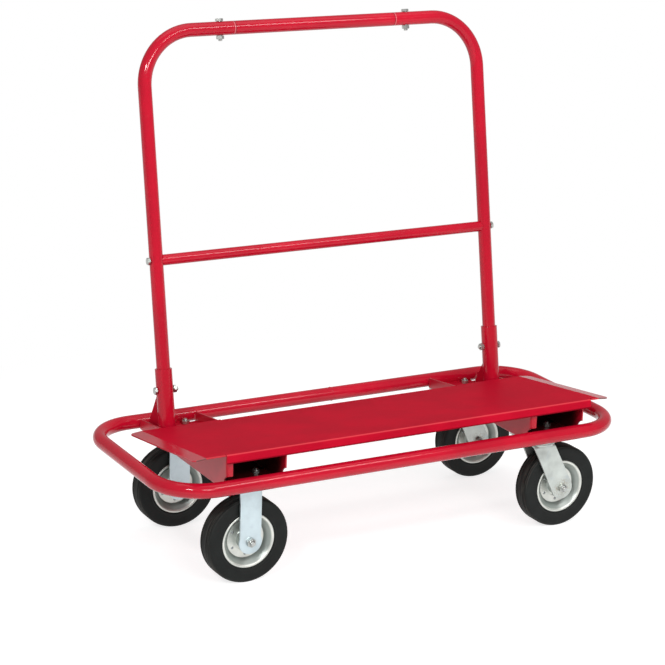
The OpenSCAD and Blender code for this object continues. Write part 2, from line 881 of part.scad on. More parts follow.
// Half a pressed rim: a flat ring on the hub's flange, a cone and a rolled lip
module rim_half() {
    difference() {
        rotate_extrude() {
            translate([ring_inner_r, ring_z]) square([rim_line[0][0] - ring_inner_r, rim_t]);
            sheet_line(rim_line, rim_t);
            translate(rim_line[len(rim_line) - 1]) circle(rim_bead_r);
        }
        rivet_holes();
    }
}

module rim_outer(side_x, side_y) {
    color(zinc) at_wheel(side_x, side_y) rim_half();
}

module rim_inner(side_x, side_y) {
    color(zinc) at_wheel(side_x, side_y) mirror([0, 0, 1]) rim_half();
}

module hub(side_x, side_y) {
    color(zinc) at_wheel(side_x, side_y) difference() {
        union() {
            cylinder(d = hub_d, h = hub_l, center = true);
            cylinder(r = hub_flange_r, h = hub_flange_t, center = true);
        }
        cylinder(d = bush_d, h = hub_l + through, center = true);
        rivet_holes();
    }
}

module bush(side_x, side_y) {
    color(bush_white) at_wheel(side_x, side_y) difference() {
        cylinder(d = bush_d - 2 * press_clear, h = hub_l, center = true);
        cylinder(d = sleeve_d + 2 * run_clear, h = hub_l + through, center = true);
    }
}

module rim_rivets(side_x, side_y) {
    grip_z = ring_z + rim_t;
    color(bright_steel) at_wheel(side_x, side_y) at_rivets() {
        cylinder(d = rivet_d, h = 2 * grip_z, center = true);
        for (m = [0, 1]) mirror([0, 0, m]) translate([0, 0, grip_z]) {
            cylinder(d = 2 * rivet_d, h = rivet_head_h / 2);
            translate([0, 0, rivet_head_h / 2])
                cylinder(d1 = 2 * rivet_d, d2 = 1.4 * rivet_d, h = rivet_head_h / 2);
        }
    }
}

bumper_loop();
cross_channel_left();
cross_channel_right();
deck();
socket_left();
socket_right();
socket_gussets();
upright_left();
upright_right();
top_crossbar();
mid_rail();
splice_bolts();
socket_bolts();
mid_rail_bolts();
caster_bolts();
caster_nuts();
swivel_balls();
kingpins();
rigid_plate_front();
rigid_plate_rear();
rigid_fork_front();
rigid_fork_rear();
swivel_plate_front();
swivel_plate_rear();
swivel_fork_front();
swivel_fork_rear();
axle_bolt(-1, -1);  // axle_bolt_front_left
axle_sleeve(-1, -1);  // axle_sleeve_front_left
tyre(-1, -1);  // tyre_front_left
rim_outer(-1, -1);  // rim_outer_front_left
rim_inner(-1, -1);  // rim_inner_front_left
hub(-1, -1);  // hub_front_left
bush(-1, -1);  // bush_front_left
rim_rivets(-1, -1);  // rim_rivets_front_left
axle_bolt(-1, 1);  // axle_bolt_rear_left
axle_sleeve(-1, 1);  // axle_sleeve_rear_left
tyre(-1, 1);  // tyre_rear_left
rim_outer(-1, 1);  // rim_outer_rear_left
rim_inner(-1, 1);  // rim_inner_rear_left
hub(-1, 1);  // hub_rear_left
bush(-1, 1);  // bush_rear_left
rim_rivets(-1, 1);  // rim_rivets_rear_left
axle_bolt(1, -1);  // axle_bolt_front_right
axle_sleeve(1, -1);  // axle_sleeve_front_right
tyre(1, -1);  // tyre_front_right
rim_outer(1, -1);  // rim_outer_front_right
rim_inner(1, -1);  // rim_inner_front_right
hub(1, -1);  // hub_front_right
bush(1, -1);  // bush_front_right
rim_rivets(1, -1);  // rim_rivets_front_right
axle_bolt(1, 1);  // axle_bolt_rear_right
axle_sleeve(1, 1);  // axle_sleeve_rear_right
tyre(1, 1);  // tyre_rear_right
rim_outer(1, 1);  // rim_outer_rear_right
rim_inner(1, 1);  // rim_inner_rear_right
hub(1, 1);  // hub_rear_right
bush(1, 1);  // bush_rear_right
rim_rivets(1, 1);  // rim_rivets_rear_right
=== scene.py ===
"""Looks and stage of a drywall cart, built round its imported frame."""

import json
import math

import bmesh
import bpy
from mathutils import Matrix, Vector


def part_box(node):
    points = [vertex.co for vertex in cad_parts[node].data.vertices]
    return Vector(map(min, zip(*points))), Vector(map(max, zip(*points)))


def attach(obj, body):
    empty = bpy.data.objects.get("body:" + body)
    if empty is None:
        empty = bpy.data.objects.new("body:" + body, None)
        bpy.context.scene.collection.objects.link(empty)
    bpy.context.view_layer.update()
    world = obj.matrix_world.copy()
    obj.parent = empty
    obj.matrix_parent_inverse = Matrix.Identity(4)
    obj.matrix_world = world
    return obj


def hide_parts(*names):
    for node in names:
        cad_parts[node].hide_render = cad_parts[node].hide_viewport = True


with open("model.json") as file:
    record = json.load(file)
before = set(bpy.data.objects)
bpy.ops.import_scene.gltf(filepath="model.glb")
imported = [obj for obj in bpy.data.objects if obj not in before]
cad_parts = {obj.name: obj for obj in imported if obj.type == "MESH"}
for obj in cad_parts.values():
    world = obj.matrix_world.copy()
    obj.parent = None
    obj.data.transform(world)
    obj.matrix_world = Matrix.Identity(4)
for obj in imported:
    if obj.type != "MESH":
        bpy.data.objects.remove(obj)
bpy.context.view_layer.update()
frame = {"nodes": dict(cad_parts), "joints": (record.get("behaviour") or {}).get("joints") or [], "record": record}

bl_info = {
    "name": "Drywall cart",
    "version": (1, 0, 0),
    "blender": (4, 5, 0),
    "location": "3D View > Sidebar > Cart",
    "description": "Paint, zinc, rubber, hardware, welds and studio stage of a drywall cart",
    "category": "Object",
}

NODES = frame["nodes"]
JOINTS = {joint["name"]: joint for joint in frame["joints"]}
SLOTS = {row["node"]: row["material_slot"] for row in frame["record"]["subparts"]}
CORNERS = ("front_left", "rear_left", "front_right", "rear_right")
PLATES = ("rigid_plate_front", "rigid_plate_rear", "swivel_plate_front", "swivel_plate_rear")
MM = 0.001

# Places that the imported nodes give
LOOP_LOW, LOOP_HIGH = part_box("bumper_loop")
LOOP_MID = (LOOP_LOW + LOOP_HIGH) / 2
TUBE_R = (LOOP_HIGH.z - LOOP_LOW.z) / 2
LOOP_HY = (LOOP_HIGH.y - LOOP_LOW.y) / 2 - TUBE_R
PLATE_LOW, PLATE_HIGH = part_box("rigid_plate_front")
FORK_LOW, FORK_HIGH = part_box("rigid_fork_front")
SOCKET_LOW, SOCKET_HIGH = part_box("socket_right")
FLOOR_Z = PLATE_HIGH.z
FLOOR_TOP = SOCKET_LOW.z
SOCKET_R = (SOCKET_HIGH.x - SOCKET_LOW.x) / 2
HOOP_MID_X = (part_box("socket_left")[0].x + SOCKET_HIGH.x) / 2
HOOP_X = SOCKET_HIGH.x - SOCKET_R - HOOP_MID_X

# Colours that several finishes share
# Pale red that stands for painted highlights on paint edges and on the deck's front fold
HIGHLIGHT_RED = (0.8, 0.12, 0.13, 1)
STAIN = (0.3, 0.24, 0.16, 1)

# Places and sizes of the lamps, which all point at the middle of the cart
LAMP_AIM = Vector((0, 0, 0.35))
LAMPS = {
    "key": ((-0.6, -4.3, 3.0), (2.0, 0.5)),
    "fill": ((-3.1, -2.9, 3.3), (0.8, 0.5)),
    "soft": ((0.95, -2.3, 2.8), (1.7, 0.6)),
    "roof": ((0.2, 0.2, 3.4), (3.0, 2.0)),
}


def rgb(name, description, default):
    """Colour of a finish."""
    return bpy.props.FloatVectorProperty(
        name=name, description=description, default=default, size=3, min=0, max=1, subtype="COLOR"
    )


def length(name, description, default):
    """Length in metres."""
    return bpy.props.FloatProperty(
        name=name, description=description, default=default, min=0, precision=5, unit="LENGTH"
    )


def angle(name, description, degrees):
    """Angle, given in degrees and kept in radians."""
    return bpy.props.FloatProperty(
        name=name, description=description, default=math.radians(degrees), subtype="ANGLE"
    )


def number(name, description, default, high=1000.0):
    """Plain number."""
    return bpy.props.FloatProperty(name=name, description=description, default=default, min=0, max=high)


def triple(name, description, default, subtype):
    """Point or direction."""
    return bpy.props.FloatVectorProperty(
        name=name, description=description, default=default, size=3, subtype=subtype, precision=5
    )


class CartFinish(bpy.types.PropertyGroup):
    """Colours of the cart's finishes"""

    tube_paint: rgb("Tube paint", "Gloss paint of the loop and hoop", (0.53, 0.004, 0.023))
    sheet_paint: rgb("Sheet paint", "Paint of deck, channels and gussets", (0.50, 0.0052, 0.023))
    zinc: rgb("Zinc", "Zinc plate of the rigid forks and their top plates", (0.61, 0.72, 0.76))
    worn_zinc: rgb("Worn zinc", "Zinc plate of the swivel forks and their top plates", (0.56, 0.60, 0.57))
    rim: rgb("Rim", "Zinc plate of the pressed rims and hubs", (0.74, 0.76, 0.71))
    bolt: rgb("Bolt", "Zinc plate of bolts and nuts", (0.50, 0.52, 0.50))
    steel: rgb("Steel", "Steel of balls, sleeves and rivets", (0.36, 0.38, 0.39))
    rubber: rgb("Rubber", "Solid rubber of the tyres", (0.006, 0.0074, 0.0068))
    nylon: rgb("Nylon", "Wheel bushes", (0.70, 0.68, 0.60))


class CartSizes(bpy.types.PropertyGroup):
    """Sizes of the pieces that are added to the frame"""

    hoop_lean: angle("Hoop lean", "Lean of the hoop to the back", 10.1)
    hoop_rise: length("Hoop rise", "Height of the top rail over the channels' floor", 924 * MM)
    hoop_r: length("Hoop tube", "Radius of the hoop's tube", 16 * MM)
    mid_rise: length("Mid rail rise", "Place of the mid rail along the hoop's leg", 420 * MM)
    lock_rise: length("Lock bolt rise", "Place of the socket's lock bolt along the hoop's leg", 120 * MM)
    splice_x: length("Splice bolt", "Distance of the splice bolts from the hoop's middle", 248 * MM)
    hoop_bolt: length("Hoop bolt", "Diameter of the hoop's bolts", 10 * MM)
    seat_gap: length("Seat gap", "Gap under the hoop bolts' heads and nuts", 0.3 * MM)
    deck_tilt: angle("Deck tilt", "Slope of the deck to the back", 7.6)
    deck_rise: length("Deck rise", "Height of the deck's front fold over the loop's tube", 77 * MM)
    deck_t: length("Deck sheet", "Thickness of the deck", 3 * MM)
    lip_h: length("Front lip", "Height of the deck's front lip", 21 * MM)
    flap_w: length("End flap", "Width of the deck's end flaps", 30 * MM)
    gusset_x: length("Gusset place", "Distance of the gussets from the hoop's middle", 455 * MM)
    gusset_t: length("Gusset sheet", "Thickness of the gussets", 5 * MM)
    weld_r: length("Weld size", "Half width of a weld bead", 2.6 * MM)
    weld_ripple: length("Weld ripple", "Distance between the ripples of a bead", 2.4 * MM)
    bolt_x: length("Bolt spacing along", "Spacing of the plate bolts along the cart", 84 * MM)
    bolt_y: length("Bolt spacing across", "Spacing of the plate bolts across the cart", 62 * MM)
    plate_bolt: length("Plate bolt", "Diameter of the plate bolts", 10 * MM)
    axle: length("Axle bolt", "Diameter of the axle bolts", 12 * MM)
    tyre_r: length("Tyre radius", "Outside radius of a tyre", 100 * MM)
    tyre_w: length("Tyre width", "Width of a tyre", 46 * MM)
    shoulder_r: length("Shoulder radius", "Radius of the tyres' shoulders", 7 * MM)
    race_r: length("Race radius", "Outside radius of a swivel's ball race", 35.5 * MM)


class CartStage(bpy.types.PropertyGroup):
    """Camera, lamps and sky"""

    eye: triple("Camera place", "Where the camera stands", (-2.4988, -4.33295, 1.9607), "TRANSLATION")
    look: triple("Camera aim", "Direction of the camera's view", (0.46934, 0.83573, -0.28512), "DIRECTION")
    top: triple("Camera top", "Direction that is up in the view", (0.11263, 0.26393, 0.95795), "DIRECTION")
    lens: number("Lens", "Focal length in millimetres on a 36 mm sensor", 120.73)
    sky: number("Sky", "Strength of the light from all round", 0.42)
    key: number("Key lamp", "Power of the lamp in front", 64)
    fill: number("Fill lamp", "Power of the small lamp in front on the left", 72)
    soft: number("Soft box", "Power of the soft box on the right, which draws lines on the tubes", 31)
    roof: number("Roof lamp", "Power of the wide lamp over the cart", 16)


class Value:
    """Output of a shader node that takes part in Python expressions."""

    def __init__(self, finish, socket):
        self.finish = finish
        self.socket = socket

    def math(self, operation, first, second):
        return self.finish.add("ShaderNodeMath", {"operation": operation}, {0: first, 1: second})

    def __add__(self, other):
        return self.math("ADD", self, other)

    def __radd__(self, other):
        return self.math("ADD", other, self)

    def __sub__(self, other):
        return self.math("SUBTRACT", self, other)

    def __rsub__(self, other):
        return self.math("SUBTRACT", other, self)

    def __mul__(self, other):
        return self.math("MULTIPLY", self, other)

    def __rmul__(self, other):
        return self.math("MULTIPLY", other, self)

    def most(self, other):
        """The larger of two values."""
        return self.math("MAXIMUM", self, other)

    def step(self, low, high):
        """0 under low, 1 over high and smooth between them."""
        inputs = {"Value": self, "From Min": low, "From Max": high}
        return self.finish.add("ShaderNodeMapRange", {"interpolation_type": "SMOOTHSTEP"}, inputs)


class Finish:
    """The nodes of a material or of the world."""

    def __init__(self, owner):
        owner.use_nodes = True
        self.owner = owner
        self.tree = owner.node_tree
        self.tree.nodes.clear()

    def add(self, kind, settings=None, inputs=None, output=0):
        """Adds a node: its settings and ramp stops come first, then its sockets' values or links."""
        node = self.tree.nodes.new(kind)
        for name, value in (settings or {}).items():
            if name == "stops":
                self.set_stops(node.color_ramp, value)
            else:
                setattr(node, name, value)
        for key, value in (inputs or {}).items():
            if isinstance(value, Value):
                self.tree.links.new(value.socket, node.inputs[key])
            else:
                node.inputs[key].default_value = value
        return Value(self, node.outputs[output]) if node.outputs else None

    def set_stops(self, ramp, stops):
        while len(ramp.elements) < len(stops):
            ramp.elements.new(1.0)
        for element, (place, colour) in zip(ramp.elements, stops):
            element.position = place
            element.color = colour

    def place(self, scale=(1, 1, 1), turn=(0, 0, 0), shift=(0, 0, 0)):
        """Object coordinates, stretched, turned and shifted."""
        where = self.add("ShaderNodeTexCoord", output="Object")
        inputs = {"Vector": where, "Scale": scale, "Rotation": turn, "Location": shift}
        return self.add("ShaderNodeMapping", None, inputs)

    def away(self, where):
        """Distance of coordinates from their origin."""
        return self.add("ShaderNodeVectorMath", {"operation": "LENGTH"}, {0: where}, "Value")

    def part(self, where, axis):
        """One coordinate."""
        return self.add("ShaderNodeSeparateXYZ", None, {"Vector": where}, axis)

    def noise(self, where, scale, detail=3.0, roughness=0.5):
        inputs = {"Vector": where, "Scale": scale, "Detail": detail, "Roughness": roughness}
        return self.add("ShaderNodeTexNoise", None, inputs)

    def attribute(self, name):
        return self.add("ShaderNodeAttribute", {"attribute_name": name}, output="Fac")

    def rings(self, name, scale):
        """Noise that changes only with an attribute of the piece."""
        inputs = {"W": self.attribute(name), "Scale": scale, "Detail": 4.0}
        return self.add("ShaderNodeTexNoise", {"noise_dimensions": "1D"}, inputs)

    def ramp(self, factor, stops):
        return self.add("ShaderNodeValToRGB", {"stops": stops}, {"Fac": factor})

    def mix(self, factor, first, second):
        """Mixes two colours."""
        settings = {"data_type": "RGBA"}
        return self.add("ShaderNodeMix", settings, {0: factor, 6: first, 7: second}, 2)

    def bump(self, height, strength, distance, normal=None):
        inputs = {"Height": height, "Strength": strength, "Distance": distance}
        if normal is not None:
            inputs["Normal"] = normal
        return self.add("ShaderNodeBump", None, inputs)

    def soft_edges(self, radius):
        """Normals that round the edges off."""
        return self.add("ShaderNodeBevel", {"samples": 4}, {"Radius": radius})

    def edge_mask(self, radius):
        """1 close to an edge and 0 away from it, from how far the rounded normals turn."""
        round_normal = self.soft_edges(radius)
        plain = self.add("ShaderNodeNewGeometry", output="Normal")
        settings = {"operation": "DOT_PRODUCT"}
        same = self.add("ShaderNodeVectorMath", settings, {0: round_normal, 1: plain}, "Value")
        return (1 - same).step(0.02, 0.3)

    def surface(self, **sockets):
        """Finishes the material with one shader, whose sockets are named with underscores."""
        inputs = {name.replace("_", " "): value for name, value in sockets.items()}
        self.output(self.add("ShaderNodeBsdfPrincipled", None, inputs))
        return self.owner

    def output(self, shader, kind="ShaderNodeOutputMaterial"):
        self.add(kind, None, {"Surface": shader})


def new_finish(name):
    return Finish(bpy.data.materials.new(name))


def shade(colour, share=1.0):
    """Colour as four numbers, made darker or lighter by a share."""
    return tuple(min(part * share, 1.0) for part in colour) + (1.0,)


def across(finish, x):
    """Distance from a plane across the cart."""
    return finish.away(finish.place((1, 0, 0), shift=(-x, 0, 0)))


def band(distance, half):
    """1 on a line of that half width, where the distance is 0."""
    return 1 - distance.step(0.5 * half, 1.5 * half)


def line_along(finish, y, z, half):
    """Mask of a line along the cart."""
    return band(finish.away(finish.place((0, 1, 1), shift=(0, -y, -z))), half)


def seam_lines(finish):
    """Masks of the dark joints between crossbar and uprights, and of the pale lines beside them, which are a
    painted highlight.
    """
    rail_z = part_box("top_crossbar")[0].z
    rail = finish.part(finish.place(), "Z").step(rail_z - 2 * MM, rail_z)
    joint = HOOP_MID_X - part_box("upright_left")[1].x
    masks = []
    for reach in (joint, joint + 2.5 * MM):
        left, right = (across(finish, HOOP_MID_X + side * reach) for side in (-1, 1))
        masks.append(band(left, MM).most(band(right, MM)) * rail)
    return masks


def deck_painted_light(finish, base, colour):
    """Colour and coat of the deck: a painted highlight along the front fold, painted shade along the lip's lower
    hem, shiny end flaps with darker front edges.
    """
    sizes = bpy.context.scene.cart_sizes
    low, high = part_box("deck")
    lip_y = LOOP_MID.y - LOOP_HY
    lip_z = LOOP_MID.z + sizes.deck_rise
    hem_y = lip_y - sizes.lip_h * math.sin(sizes.deck_tilt)
    hem_z = lip_z - sizes.lip_h * math.cos(sizes.deck_tilt)
    flat = (high.x - low.x) / 2 - sizes.flap_w
    fold = line_along(finish, lip_y + 1.2 * MM, lip_z - 1.2 * MM, 1.8 * MM)
    hem_shade = line_along(finish, hem_y, hem_z, 2.8 * MM)
    flaps = across(finish, (low.x + high.x) / 2).step(flat - 0.5 * MM, flat + 0.5 * MM)
    front = 1 - finish.part(finish.place(), "Y").step(lip_y + 0.3 * MM, lip_y + 1.2 * MM)
    # Painted highlight along the front fold
    base = finish.mix(fold * 0.4, base, HIGHLIGHT_RED)
    # Painted shade along the lip's lower hem
    base = finish.mix(hem_shade * 0.7, base, shade(colour, 0.25))
    return finish.mix(front * flaps * 0.8, base, (0.09, 0.05, 0.045, 1)), flaps


def channel_painted_shade(finish, base, _colour):
    """Colour and coat of the channels: painted shade on the inner faces under the deck."""
    # Painted shade on the channels' inner faces under the deck
    return finish.mix(inside_channels(finish) * 0.92, base, (0.02, 0.004, 0.004, 1)), 0.0


def inside_channels(finish):
    """Mask of the channels' inner faces under the deck, which get painted shade."""
    side = finish.part(finish.place(), "Y")
    front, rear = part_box("deck")[0].y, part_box("deck")[1].y
    depth = side.step(front + 6 * MM, front + 50 * MM) * (1 - side.step(rear - 70 * MM, rear - 20 * MM))
    rows = []
    for node in ("cross_channel_left", "cross_channel_right"):
        low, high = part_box(node)
        half = (high.x - low.x) / 2
        rows.append(1 - across(finish, low.x + half).step(half - 2.6 * MM, half - 1.6 * MM))
    return rows[0].most(rows[1]) * depth


def tube_paint(colour):
    """Gloss paint on tubes: faint orange peel, slight shade differences, dust and small rubs."""
    finish = new_finish("gloss_tube_paint")
    where = finish.place()
    clouds = finish.noise(where, 6.0, 4.0)
    peel = finish.noise(where, 520.0, 2.0)
    dust = finish.noise(where, 42.0, 6.0, 0.65).step(0.54, 0.8)
    rubs = finish.noise(finish.place((4, 40, 40)), 5.0, 5.0).step(0.58, 0.72)
    dark, pale = seam_lines(finish)
    base = finish.mix(clouds.step(0.3, 0.75), shade(colour, 0.9), shade(colour, 1.1))
    base = finish.mix(dust * 0.03, base, (0.55, 0.3, 0.28, 1))
    base = finish.mix(dark * 0.6, base, shade(colour, 0.25))
    # Pale lines beside the joints: a painted highlight
    base = finish.mix(pale * 0.5, base, (0.8, 0.3, 0.32, 1))
    rough = 0.1 + dust * 0.12 + rubs * 0.08
    normal = finish.bump(peel, 0.05, 0.4 * MM, finish.soft_edges(1.5 * MM))
    return finish.surface(
        Base_Color=base, Roughness=rough, Normal=normal, Specular_IOR_Level=0.4, IOR=1.45
    )


def sheet_paint(name, colour, gloss, marks):
    """Paint on sheet metal: fine grain along the sheet, chalky scuffs, edges made paler as a painted highlight,
    and a piece's own painted light and shade.
    """
    finish = new_finish(name)
    where = finish.place()
    clouds = finish.noise(where, 7.0, 5.0, 0.55)
    grain = finish.noise(finish.place((9, 120, 120)), 7.0, 4.0, 0.6)
    peel = finish.noise(where, 480.0, 2.0)
    scuffs = finish.noise(finish.place((6, 46, 46), (0, 0, 0.35)), 4.0, 6.0, 0.7).step(0.62, 0.76)
    edges = finish.edge_mask(1.4 * MM)
    base = finish.mix(clouds.step(0.3, 0.75), shade(colour, 0.88), shade(colour, 1.1))
    base = finish.mix(grain.step(0.35, 0.75) * 0.35, base, shade(colour, 1.25))
    base = finish.mix(scuffs * 0.06, base, (0.6, 0.25, 0.24, 1))
    # Edges made paler red: a painted highlight
    base = finish.mix(edges * 0.22, base, HIGHLIGHT_RED)
    # The piece's own painted highlight and shade, with its coat
    base, coat = marks(finish, base, colour)
    rough = 0.5 - 0.4 * gloss + clouds * 0.08 + scuffs * 0.12
    normal = finish.bump(peel, 0.06, 0.4 * MM, finish.soft_edges(1.2 * MM))
    return finish.surface(
        Base_Color=base, Roughness=rough, Normal=normal, Specular_IOR_Level=gloss, IOR=1.45,
        Coat_Weight=coat, Coat_Roughness=0.2
    )


def zinc_sheet(name, colour, wear):
    """Bright zinc plate: cloudy, with bluish blotches, drawn scratches, brown stains and edges brightened as a
    painted highlight.
    """
    finish = new_finish(name)
    where = finish.place()
    clouds = finish.noise(where, 16.0, 5.0, 0.55)
    blotch = finish.noise(where, 34.0, 4.0, 0.6).step(0.55, 0.8)
    scratch = finish.noise(finish.place((300, 300, 12)), 1.0, 3.0).step(0.56, 0.72)
    stain = finish.noise(where, 70.0, 6.0, 0.75).step(0.63, 0.8)
    axle = JOINTS["roll_front_right"]["pos_m"]
    reach = finish.away(finish.place((1, 0, 1), shift=(-axle[0], 0, -axle[2])))
    ring = 1 - reach.step(9 * MM, 34 * MM)
    specks = finish.noise(where, 260.0, 4.0, 0.7).step(0.44, 0.66) * ring * wear
    edges = finish.edge_mask(1.2 * MM)
    low, mid, high = shade(colour, 0.82 - 0.2 * wear), shade(colour), shade(colour, 1.12 + 0.12 * wear)
    base = finish.ramp(clouds, [(0.28, low), (0.5, mid), (0.75, high)])
    base = finish.mix(blotch * (0.2 + 0.4 * wear), base, shade((0.42, 0.5, 0.58)))
    base = finish.mix(stain * (0.1 + 0.5 * wear), base, (0.4, 0.31, 0.2, 1))
    base = finish.mix(specks * 0.75, base, (0.3, 0.24, 0.15, 1))
    # Edges brightened: a painted highlight
    base = finish.mix(edges * 0.5, base, (0.86, 0.88, 0.88, 1))
    rough = 0.3 + clouds * 0.14 - scratch * 0.08
    normal = finish.bump(scratch, 0.05, 0.2 * MM, finish.soft_edges(1.0 * MM))
    return finish.surface(Base_Color=base, Metallic=0.75, Roughness=rough, Normal=normal)


def zinc_turned(name, colour, rough, stain):
    """Zinc plate on turned parts: fine rings round the axis and a slight yellow cast in places."""
    finish = new_finish(name)
    where = finish.place()
    rings = finish.rings("turning", 900.0)
    clouds = finish.noise(where, 30.0, 5.0, 0.6)
    cast = finish.noise(where, 14.0, 3.0).step(0.45, 0.7)
    spots = finish.noise(where, 160.0, 5.0, 0.7).step(0.62, 0.78)
    base = finish.mix(clouds.step(0.25, 0.75), shade(colour, 0.84), shade(colour, 1.1))
    base = finish.mix(cast * 0.3, base, shade((colour[0] * 1.02, colour[1], colour[2] * 0.86)))
    base = finish.mix(spots * stain, base, STAIN)
    roughness = rough + rings * 0.12 + clouds * 0.08
    normal = finish.bump(rings, 0.04, 0.2 * MM, finish.soft_edges(0.6 * MM))
    return finish.surface(Base_Color=base, Metallic=0.9, Roughness=roughness, Normal=normal)


def zinc_rim(colour):
    """Zinc plate on rims and hubs: painted shade on the hub's barrel and on the cone, darkest in the cone's inner
    corner, with a pale ring and a bright lip.
    """
    finish = new_finish("zinc_rim")
    where = finish.place()
    radius = finish.attribute("turning")
    rings = finish.rings("turning", 900.0)
    clouds = finish.noise(where, 30.0, 5.0, 0.6)
    spots = finish.noise(where, 160.0, 5.0, 0.7).step(0.62, 0.78)
    cone_shade = radius.step(44.8 * MM, 46.2 * MM) * (1 - radius.step(56.5 * MM, 58.8 * MM))
    corner = cone_shade * (1 - radius.step(46.2 * MM, 53.5 * MM))
    barrel = 1 - radius.step(21.6 * MM, 23.2 * MM)
    base = finish.mix(clouds.step(0.25, 0.75), shade(colour, 0.86), shade(colour, 1.1))
    # Painted shade on the rim's cone
    base = finish.mix(cone_shade * 0.8, base, shade((0.34, 0.38, 0.36)))
    # Darker painted shade in the cone's inner corner
    base = finish.mix(corner * 0.6, base, shade((0.12, 0.14, 0.13)))
    # Painted shade on the hub's barrel
    base = finish.mix(barrel * 0.6, base, shade((0.24, 0.31, 0.3)))
    base = finish.mix(spots * 0.1, base, STAIN)
    rough = 0.3 + rings * 0.1 + clouds * 0.08
    normal = finish.bump(rings, 0.03, 0.2 * MM, finish.soft_edges(0.6 * MM))
    return finish.surface(Base_Color=base, Metallic=0.75, Roughness=rough, Normal=normal)


def tyre_rubber(colour):
    """Solid rubber: dull, faintly mottled, with rings on the side and streaks of dust round the tread."""
    finish = new_finish("solid_rubber")
    where = finish.place()
    mottle = finish.noise(where, 30.0, 5.0, 0.6)
    grain = finish.noise(where, 700.0, 2.0)
    rings = finish.rings("turning", 420.0)
    tread = finish.attribute("tread")
    dust = finish.noise(finish.place((5, 150, 5)), 3.0, 4.0, 0.6).step(0.42, 0.7)
    base = finish.mix(mottle.step(0.3, 0.75), shade(colour, 0.7), shade(colour, 1.5))
    base = finish.mix(tread * dust * 0.45, base, (0.12, 0.115, 0.1, 1))
    rough = 0.48 + mottle * 0.14 + tread * 0.16
    normal = finish.bump(grain + rings * 0.6, 0.1, 0.3 * MM)
    return finish.surface(Base_Color=base, Roughness=rough, Normal=normal, Specular_IOR_Level=0.25)


def bush_nylon(colour):
    """Dull nylon with faint turning rings."""
    finish = new_finish("dull_nylon")
    clouds = finish.noise(finish.place(), 60.0, 4.0)
    base = finish.mix(clouds, shade(colour, 0.85), shade(colour))
    return finish.surface(Base_Color=base, Roughness=0.45 + clouds * 0.1)


MAKERS = {
    "tube_paint": lambda look: tube_paint(look.tube_paint),
    "sheet_paint": lambda look: sheet_paint("satin_sheet_paint", look.sheet_paint, 0.018, deck_painted_light),
    "channel_paint": lambda look: sheet_paint("gloss_sheet_paint", look.sheet_paint, 0.5, channel_painted_shade),
    "zinc_sheet": lambda look: zinc_sheet("zinc_sheet", look.zinc, 0.1),
    "zinc_worn": lambda look: zinc_sheet("zinc_worn", look.worn_zinc, 0.9),
    "zinc_rim": lambda look: zinc_rim(look.rim),
    "zinc_bolt": lambda look: zinc_turned("zinc_bolt", look.bolt, 0.22, 0.35),
    "bright_steel": lambda look: zinc_turned("bright_steel", look.steel, 0.18, 0.1),
    "tyre_rubber": lambda look: tyre_rubber(look.rubber),
    "bush_nylon": lambda look: bush_nylon(look.nylon),
}
PAINTS = {
    "deck": "sheet_paint",
    "socket_gussets": "sheet_paint",
    "cross_channel_left": "channel_paint",
    "cross_channel_right": "channel_paint",
}
MATERIALS = {}


def finish_of(name):
    """The material of that name, made when it is first asked for."""
    if name not in MATERIALS:
        MATERIALS[name] = MAKERS[name](bpy.context.scene.cart_finish)
    return MATERIALS[name]


def save_piece(name, work, body, finish, replaces=(), sharp=35.0):
    """Turns a bmesh into a piece that rides on a body."""
    mesh = bpy.data.meshes.new(name)
    work.to_mesh(mesh)
    work.free()
    mesh.shade_smooth()
    mesh.set_sharp_from_angle(angle=math.radians(sharp))
    mesh.materials.append(finish_of(finish))
    piece = bpy.data.objects.new(name, mesh)
    bpy.context.scene.collection.objects.link(piece)
    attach(piece, body)
    if replaces:
        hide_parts(*replaces)


def stamp(target, source, matrix):
    """Adds a copy of one bmesh to another, set by a matrix."""
    mesh = bpy.data.meshes.new("stamp")
    source.to_mesh(mesh)
    mesh.transform(matrix)
    target.from_mesh(mesh)
    bpy.data.meshes.remove(mesh)


def close_up(work):
    """Merges doubles and points every face outwards."""
    bmesh.ops.remove_doubles(work, verts=work.verts, dist=1e-6)
    bmesh.ops.recalc_face_normals(work, faces=work.faces)
    return work


def lathe(outline, steps, closed=False):
    """Spins an outline of (radius, height) points, in millimetres, round the Z axis."""
    work = bmesh.new()
    verts = [work.verts.new((r * MM, 0, z * MM)) for r, z in outline]
    pairs = list(zip(verts, verts[1:]))
    if closed:
        pairs.append((verts[-1], verts[0]))
    edges = [work.edges.new(pair) for pair in pairs]
    bmesh.ops.spin(
        work, geom=verts + edges, cent=(0, 0, 0), axis=(0, 0, 1), angle=math.tau, steps=steps, use_merge=True
    )
    close_up(work)
    turning = work.verts.layers.float.new("turning")
    for vert in work.verts:
        vert[turning] = math.hypot(vert.co.x, vert.co.y)
    return work


def loft(rings, closed=False):
    """Bridges rings of the same count; an open loft is capped at both ends."""
    work = bmesh.new()
    loops = []
    for ring in rings:
        made = bmesh.ops.create_circle(work, cap_ends=False, radius=1.0, segments=len(ring))["verts"]
        for vert, point in zip(made, ring):
            vert.co = point
        loops.append(list({edge for vert in made for edge in vert.link_edges}))
    pairs = list(zip(loops, loops[1:]))
    if closed:
        pairs.append((loops[-1], loops[0]))
    for first, second in pairs:
        bmesh.ops.bridge_loops(work, edges=first + second)
    if not closed:
        bmesh.ops.holes_fill(work, edges=loops[0] + loops[-1], sides=0)
    return close_up(work)


